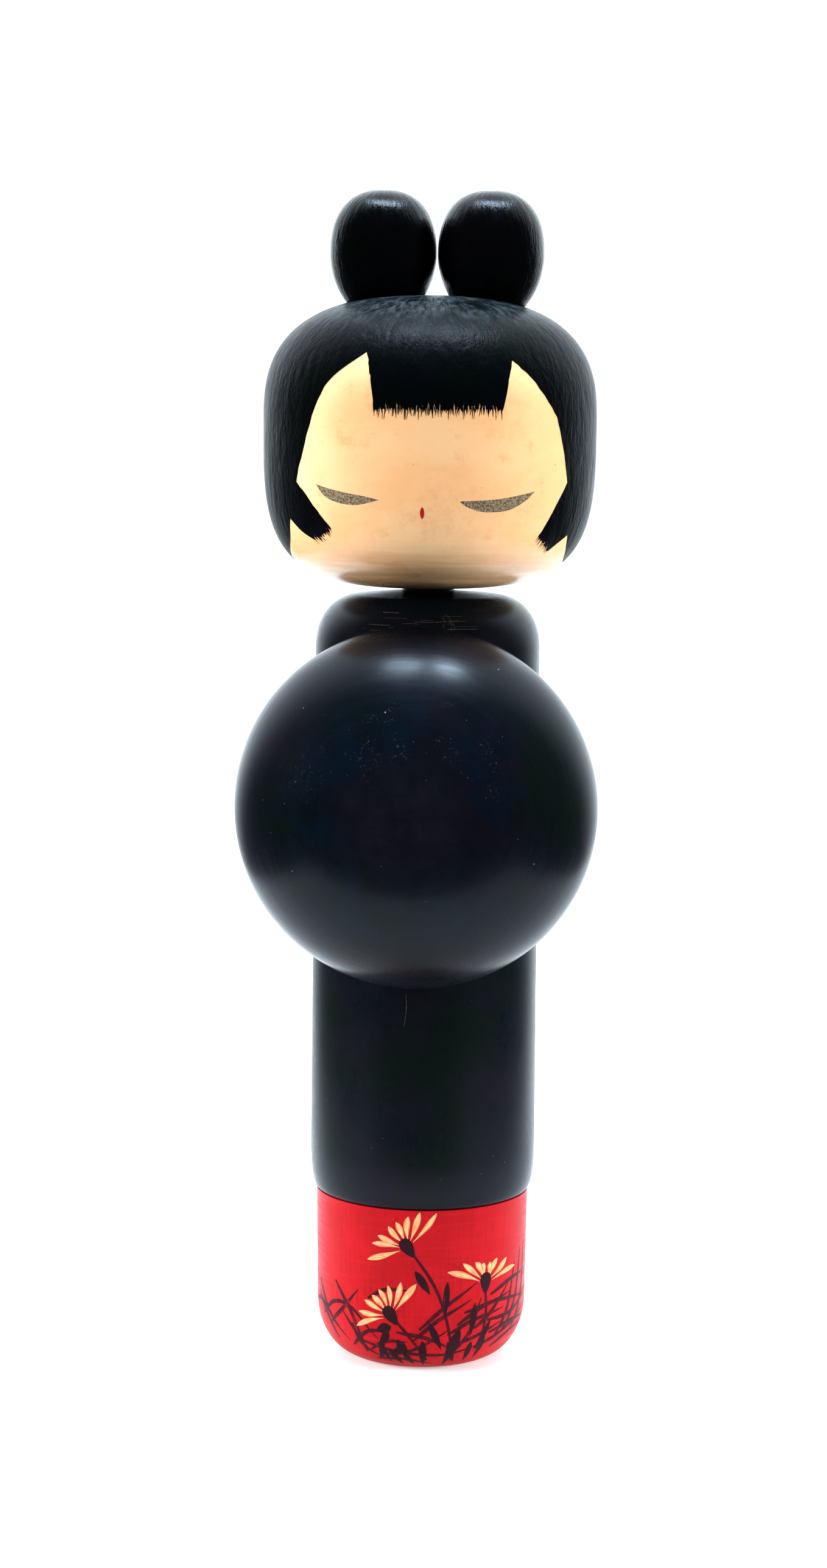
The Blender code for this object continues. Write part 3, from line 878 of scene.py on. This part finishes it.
GRASS = [
    [(0.6, 9.6), (7, 15), (16, 19.8)], [(2, 12.5), (9, 18.6), (17.5, 24)],
    [(9.5, 11), (16.5, 14.2), (27, 16)], [(12, 13.4), (19, 17.2), (30, 19.6)],
    [(22, 20.2), (30, 22.8), (41, 23.4)], [(14, 16.5), (24, 18.2), (38, 17)],
    [(10.5, 4.4), (15.5, 11), (19, 20)], [(24, 8), (29, 16), (32, 27)], [(27, 9), (33, 18), (35.5, 30)],
    [(31, 8.5), (37, 18), (38.5, 31)], [(22, 10), (31, 11.6), (42, 10.6)],
    [(18, 6.4), (27, 9.4), (39, 13.8)], [(21, 13.6), (31, 14.2), (43, 18.8)],
    [(-4, 11.6), (4, 10.2), (12, 6.2)], [(-14, 8), (-4, 6), (9, 5.2), (20, 7.2)],
    [(-9, 4.6), (0, 6.6), (10, 12.4)], [(-8.8, 3.8), (-8.4, 8), (-7.2, 12.4)],
    [(-13.5, 4.8), (-15.6, 9.6), (-21, 15.4)], [(-30, 12), (-24, 16.6), (-17, 16.2), (-9, 9)],
    [(-33, 20.5), (-27, 13.6), (-19, 7)], [(-26, 10.6), (-20, 16), (-15, 21.6)],
    [(-24, 6.6), (-27.6, 12), (-34, 17.6)], [(-12, 19.8), (-7, 22.6), (-1, 22.8)],
    [(-18, 6), (-12, 11), (-6, 11.4)], [(-23.5, 22.4), (-17, 14.6), (-13, 5.6)],
    [(-38, 13.4), (-32, 15.4), (-25, 12)], [(-12, 5.8), (-7, 8.8), (-1, 9)],
    [(-11, 3.2), (-3, 3.8), (6, 2.4)], [(24, 5.6), (31, 8.6), (40, 9.4)], [(17, 12), (22, 15.4), (29, 22)],
    [(12, 8), (18, 9.8), (26, 12.4)], [(-17, 12.4), (-14.6, 7), (-9, 3.6)],
]


def stroke(name, chart, points, width, material, lift, seed, start, end):
    """A brush stroke along a curve: full width in its middle, and a share of that at its start and end."""
    line = curve(points, steps=6)
    way = np.linspace(0.0, 1.0, len(line))
    half = width / 2 * np.interp(way, [0.0, 0.25, 0.65, 1.0], [start, 1.0, 0.85, end])
    ribbons(name, chart, [(line, half, seed)], material, "body", "red_stain", lift)


def blade(name, chart, root, tip, width, material, lift, seed, bow=0.0, full=1.25):
    """A petal or leaf from root to tip: widest past its middle, bowed to its left."""
    root, tip = np.array(root, float), np.array(tip, float)
    along = tip - root
    side = np.array([-along[1], along[0]]) / np.linalg.norm(along)
    way = np.linspace(0.0, 1.0, BLADE_STEPS)
    line = root + along * way[:, None] + side * bow * np.sin(math.pi * way)[:, None]
    half = width / 2 * np.maximum(np.sin(math.pi * way ** full) ** 0.75, 0.06)
    ribbons(name, chart, [(line, half, seed)], material, "body", "red_stain", lift)


def drop(middle, heading, length, width):
    """A calyx: round where the petals are, and drawn out to a point towards the stem."""
    angle = np.arange(CALYX_CORNERS) * 2 * math.pi / CALYX_CORNERS
    along = length / 2 * np.cos(angle)
    half = width / 2 * np.sin(angle) * (1 + 0.45 * np.cos(angle)) * 0.95
    c, s = math.cos(heading), math.sin(heading)
    return np.column_stack((middle[0] + along * c - half * s, middle[1] + along * s + half * c))


def flower(name, chart, looks, heart, lean, spread, short, long, seed, stem):
    """A wild daisy seen from the side. Its petals fan out from the heart on both sides of the lean, the outer
    ones longest, and a calyx hides their roots."""
    rng = random.Random(seed)
    stroke(f"{name}_stem", chart, stem, 0.85, looks["ink"], PAINT, seed, start=0.7, end=0.9)
    for i in range(PETALS):
        u = 2 * i / (PETALS - 1) - 1
        heading = math.radians(lean - u * spread + rng.uniform(-3, 3))
        length = short + (long - short) * abs(u) ** 1.6 * rng.uniform(0.85, 1.1) + rng.uniform(-0.4, 0.4)
        way = np.array([math.cos(heading), math.sin(heading)])
        width, bow = rng.uniform(1.35, 1.85), rng.uniform(-0.5, 0.5)
        blade(f"{name}_petal_{i + 1}", chart, heart + way * 2.1, heart + way * length, width, looks["petal"],
              PAINT * (1.2 + 0.15 * (i % 3)), seed + i, bow, full=1.6)
    calyx = drop(heart, math.radians(lean), 5.6, 3.3)
    painted(f"{name}_calyx", chart, calyx, looks["calyx"], "body", "red_stain", 0.6 * MM, 2.0 * PAINT)


def paint_flowers(surface, looks):
    chart = StripChart(surface, FOOT_TOP_RADIUS)
    flower("flower_high", chart, looks, (-1.1, 33.9), lean=125, spread=76, short=7.0, long=11.8, seed=3,
           stem=[(0.6, 31.9), (4.5, 26.3), (7.4, 20.5), (9.6, 13.0), (11.6, 3.2)])
    flower("flower_side", chart, looks, (20.3, 23.6), lean=88, spread=74, short=5.4, long=11.5, seed=8,
           stem=[(20.3, 21.6), (20.6, 16.5), (20.0, 11.5), (19.0, 6.0)])
    flower("flower_low", chart, looks, (-5.4, 15.9), lean=126, spread=74, short=7.0, long=10.8, seed=6,
           stem=[(-3.7, 14.2), (-0.2, 10.0), (4.2, 3.6)])
    for i, (root, tip, width) in enumerate(LEAVES):
        blade(f"leaf_{i + 1}", chart, root, tip, width, looks["leaf"], 1.1 * PAINT, i)
    for i, points in enumerate(GRASS):
        lift = PAINT * (0.6 + 0.05 * (i % 6))
        stroke(f"grass_{i + 1}", chart, points, 1.15, looks["grass"], lift, i, start=0.5, end=0.2)


# ---------- scuffs

def scuff_trunk(surface, looks):
    """One long upright scratch under the dome, and turning scuffs across the shoulder."""
    chart = StripChart(surface, TRUNK_TOP_RADIUS)
    rng = random.Random(21)
    upright = curve([(-2.0, 99.8), (-1.9, 96.0), (-2.4, 91.6)])
    strokes = [(upright, np.interp(np.linspace(0, 1, len(upright)), [0, 0.5, 1], [0.03, 0.07, 0.04]), 0)]
    for i in range(16):
        start, height = rng.uniform(-14.0, 12.0), rng.uniform(190.2, 195.4)
        long = rng.uniform(2.0, 9.0)
        middle = (start + long / 2, height + rng.uniform(-0.1, 0.1))
        line = curve([(start, height), middle, (start + long, height)])
        strokes.append((line, np.full(len(line), rng.uniform(0.03, 0.07)), i + 1))
    for i in range(7):
        start = np.array([rng.uniform(6.0, 9.0), rng.uniform(191.0, 195.0)])
        line = curve([start, start + (rng.uniform(-1.0, 1.5), -1.2), start + (rng.uniform(-1.5, 2.0), -2.6)])
        strokes.append((line, np.full(len(line), 0.04), i + 30))
    ribbons("trunk_scuffs", chart, strokes, looks["scuff"], "body", "black_lacquer", 0.01 * MM, across=1)


# ---------- the doll

def make_looks():
    rubbed, lathed = scattered((700.0, 700.0, 450.0)), scattered((60.0, 700.0, 60.0))
    middle = (0.0, 0.0)
    return {
        "trunk": lacquer("trunk_lacquer", 0.30, rubbed, 0.003 * MM, 0.35),
        "dome": lacquer("dome_lacquer", 0.27, lathed, 0.003 * MM, 0.50, wear_and_sheen=dome_wear),
        "hair": lacquer("hair_lacquer", 0.36, combed(middle, 17.0, 150.0), 0.36 * MM, 0.08,
                        tone=0.4, gloss=0.20, wear_and_sheen=crown_dust_and_sheen),
        "bristle": lacquer("bristle_lacquer", 0.5, combed(middle, 200.0, 300.0), 0.02 * MM, 0.0,
                           tone=0.7, gloss=0.2),
        "face": face_wood(),
        "eye": eye_paint(),
        "mouth": lip_paint("lip_red", (0.70, 0.008, 0.010)),
        "mouth_edge": lip_paint("lip_dark", (0.30, 0.006, 0.006)),
        "red": red_stain(),
        "petal": petal_paint(),
        "ink": ink("stem_ink", 0.9, (0.040, 0.0012, 0.004)),
        "leaf": ink("leaf_ink", 1.1),
        "grass": ink("grass_ink", 0.75, (0.035, 0.0015, 0.005)),
        "calyx": ink("calyx_ink", 1.2),
        "scuff": scratch_mark("lacquer_scuff", (0.085, 0.065, 0.055)),
        "raw": raw_wood(),
    }


def make_doll():
    looks = make_looks()
    crown, trunk, foot = head_surface(), trunk_surface(), foot_surface()
    turned_piece("doll_head", crown, looks["face"], "head", "head", "face_wood")
    turned_piece("doll_trunk", trunk, looks["trunk"], "trunk", "body", "black_lacquer")
    turned_piece("doll_foot", foot, looks["red"], "foot", "body", "red_stain")
    turned_piece("doll_dome", dome_surface(), looks["dome"], "front_dome", "body", "black_lacquer")
    turned_piece("doll_neck", neck_surface(), looks["trunk"], "neck_dowel", "body", "black_lacquer")
    for node in ("bun_left", "bun_right"):
        marks = combed(centre_of(node), 7.5, 120.0)
        look = lacquer(f"{node}_lacquer", 0.20, marks, 0.30 * MM, 0.1, tone=0.15, gloss=0.55)
        bun = turned_piece(f"doll_{node}", bun_surface(node), look, node, "head", "black_lacquer")
        seat_on_crown(bun, crown)
    for node in ("dome_dowel", "bun_dowel_left", "bun_dowel_right"):
        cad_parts[node].data.materials[0] = looks["raw"]
    paint_head(crown, looks)
    paint_flowers(foot, looks)
    scuff_trunk(trunk, looks)


# ---------- studio

CAMERA_ROUND = math.radians(5.2)  # the camera stands this far towards the doll's left
CAMERA_DOWN = math.radians(7.4)
CAMERA_LEAN = math.radians(0.57)  # the doll leans this much in the picture
CAMERA_AWAY = 830.5 * MM
CAMERA_LENS, CAMERA_SENSOR = 74.07, 36.0  # in millimetres
AIM_HEIGHT = 0.4973  # of the doll's whole height
AIM_SIDE = -3.29 * MM  # across the view, from the doll's axis
FLOOR_FRONT, FLOOR_BACK, FLOOR_WIDE = -0.19, 4.0, 0.52
FLOOR_GLOW = 0.35  # keeps the sheet white right up to the foot
FLOOR_PALES = ((0.77, 0.77, 0.77), (0.79, 0.79, 0.79))
SKY = (0.80, 0.92, 1.0)
SKYLIGHT = (0.60, 0.80, 1.0)
BACKDROP = 1.1  # how bright the camera sees the world, just past white
WORLD_DIM, WORLD_BRIGHT = 0.12, 3.0
WORLD_EDGE = (0.35, 0.95)  # how far back and up a direction points where the bright part starts
UP_COUNTS = 0.8  # of what back counts in that

# Each lamp's name, place, size, power and colour, and whether it shows in the gloss. Their left and right are
# the camera's.
LAMPS = (
    ("overhead_right", (0.16, -0.02, 0.95), 0.14, 7.6, SKYLIGHT, True),
    ("overhead_left", (-0.10, -0.02, 0.95), 0.20, 7.8, SKYLIGHT, True),
    ("fill_left", (-1.30, -0.45, 0.50), 0.7, 32.0, WHITE, False),
    ("fill_right", (1.35, -0.38, 0.50), 0.7, 26.5, WHITE, False),
)


def make_camera():
    right = Vector((math.cos(CAMERA_ROUND), math.sin(CAMERA_ROUND), 0.0))
    back = Vector((math.sin(CAMERA_ROUND) * math.cos(CAMERA_DOWN),
                   -math.cos(CAMERA_ROUND) * math.cos(CAMERA_DOWN), math.sin(CAMERA_DOWN)))
    aim = Vector((0.0, 0.0, AIM_HEIGHT * cad_high.z)) + right * AIM_SIDE
    camera = bpy.data.objects.new("camera", bpy.data.cameras.new("camera"))
    camera.data.lens = CAMERA_LENS
    camera.data.sensor_width = CAMERA_SENSOR
    camera.data.clip_start = 10.0 * MM
    upright = Matrix((right, back.cross(right), back)).transposed().to_4x4()
    turn = upright @ Matrix.Rotation(CAMERA_LEAN, 4, "Z")
    camera.matrix_world = Matrix.Translation(aim + back * CAMERA_AWAY) @ turn
    bpy.context.scene.collection.objects.link(camera)
    bpy.context.scene.camera = camera


def make_floor():
    """A narrow pale sheet that starts in front of the doll, below the picture's edge, and runs far back."""
    bpy.ops.mesh.primitive_plane_add(size=1.0)
    floor = bpy.context.object
    floor.name = "studio_floor"
    floor.scale = (FLOOR_WIDE, FLOOR_BACK - FLOOR_FRONT, 1.0)
    floor.location = (0.0, (FLOOR_BACK + FLOOR_FRONT) / 2, 0.0)
    look = Look("studio_floor", FLOOR_PALES[0], 0.9, IOR=1.2)
    pale = look.mix(look.noise(3, 2), *FLOOR_PALES)
    floor.data.materials.append(look.finish(Base_Color=pale, Emission_Color=(*WHITE, 1.0),
                                            Emission_Strength=FLOOR_GLOW))


def make_world():
    """A white studio that is bright overhead and behind the doll, and dim where the doll faces."""
    world = bpy.data.worlds.new("studio")
    bpy.context.scene.world = world
    world.use_nodes = True
    sky = Nodes(world.node_tree)
    _, back, up = sky.split(sky.node("TexCoord", {}).outputs["Generated"])
    backwards = sky.plus(back, sky.times(up, UP_COUNTS))
    lit = sky.plus(sky.ramp(backwards, *WORLD_EDGE, 0.0, WORLD_BRIGHT), WORLD_DIM)
    seen = sky.node("LightPath", {}).outputs["Is Camera Ray"]
    strength = sky.plus(sky.times(seen, BACKDROP), sky.times(sky.minus(1.0, seen), lit))
    sky.set(sky.tree.nodes["Background"], {"Strength": strength, "Color": sky.mix(seen, SKY, WHITE)})


def make_lamp(name, stands_at, size, power, colour, glossy):
    light = bpy.data.lights.new(name, "AREA")
    light.shape = "DISK"
    light.size = size
    light.energy = power
    light.color = colour
    lamp = bpy.data.objects.new(name, light)
    lamp.location = stands_at
    aim = Vector((0.0, 0.0, cad_high.z / 2)) - Vector(stands_at)
    lamp.rotation_euler = aim.to_track_quat("-Z", "Y").to_euler()
    lamp.visible_glossy = glossy
    bpy.context.scene.collection.objects.link(lamp)


def make_studio():
    make_camera()
    make_floor()
    make_world()
    for lamp in LAMPS:
        make_lamp(*lamp)
    bpy.context.scene.view_settings.view_transform = "Standard"


make_doll()
make_studio()
